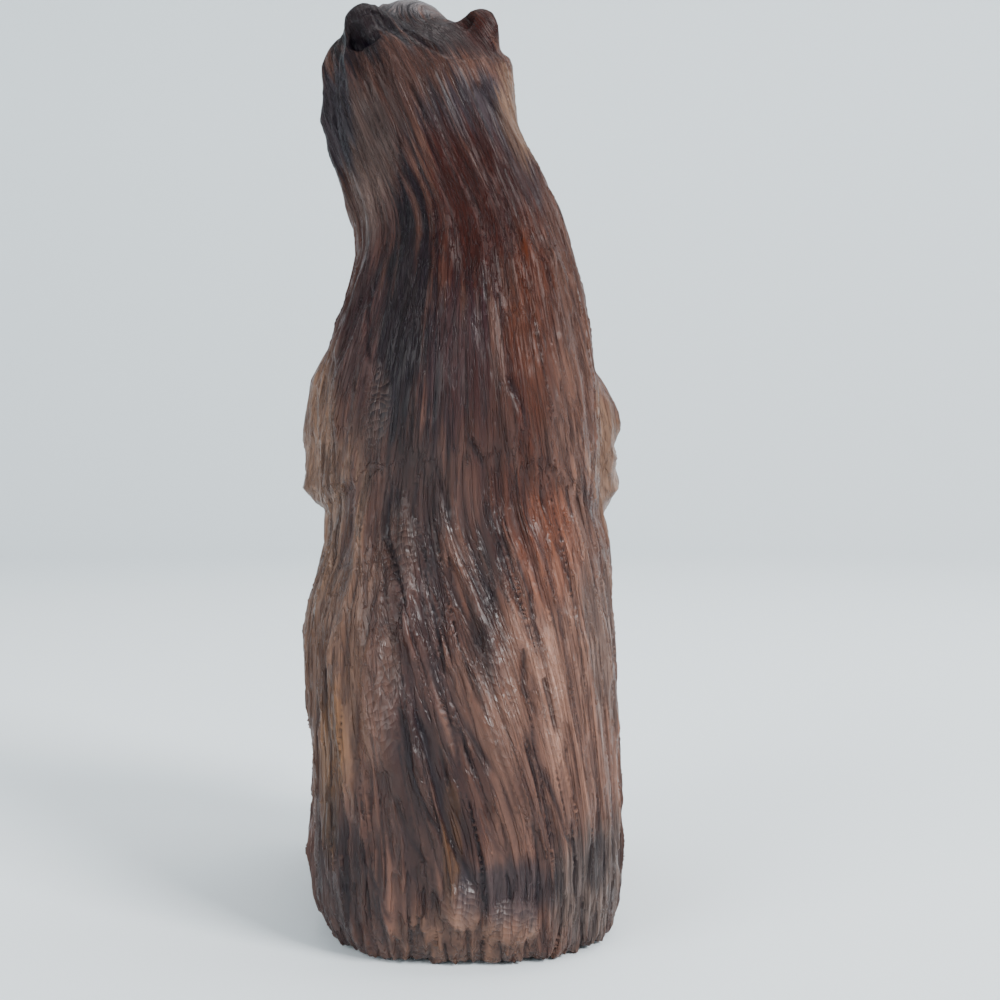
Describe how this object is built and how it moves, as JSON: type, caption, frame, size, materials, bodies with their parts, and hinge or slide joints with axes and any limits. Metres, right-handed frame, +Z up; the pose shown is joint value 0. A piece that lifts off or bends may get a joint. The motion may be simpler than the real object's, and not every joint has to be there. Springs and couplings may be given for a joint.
{
  "type": "carved wooden bear figurine",
  "caption": "Bear carved from one block of hardwood, sitting up with raised muzzle and paws on its belly, gouge-cut fur, flat-cut foot",
  "frame": {"origin": "middle of the bounding box of the flat underside, on the surface that the bear stands on", "axes": "+Z up along the bear's height, -Y the way the bear faces, +X its left"},
  "size_m": [0.0712, 0.0908, 0.2003],
  "materials": {
    "wood": "oiled and polished two-tone hardwood, gouge-carved fur"
  },
  "bodies": {
    "root": {"carved_bear": "wood"}
  },
  "joints": []
}
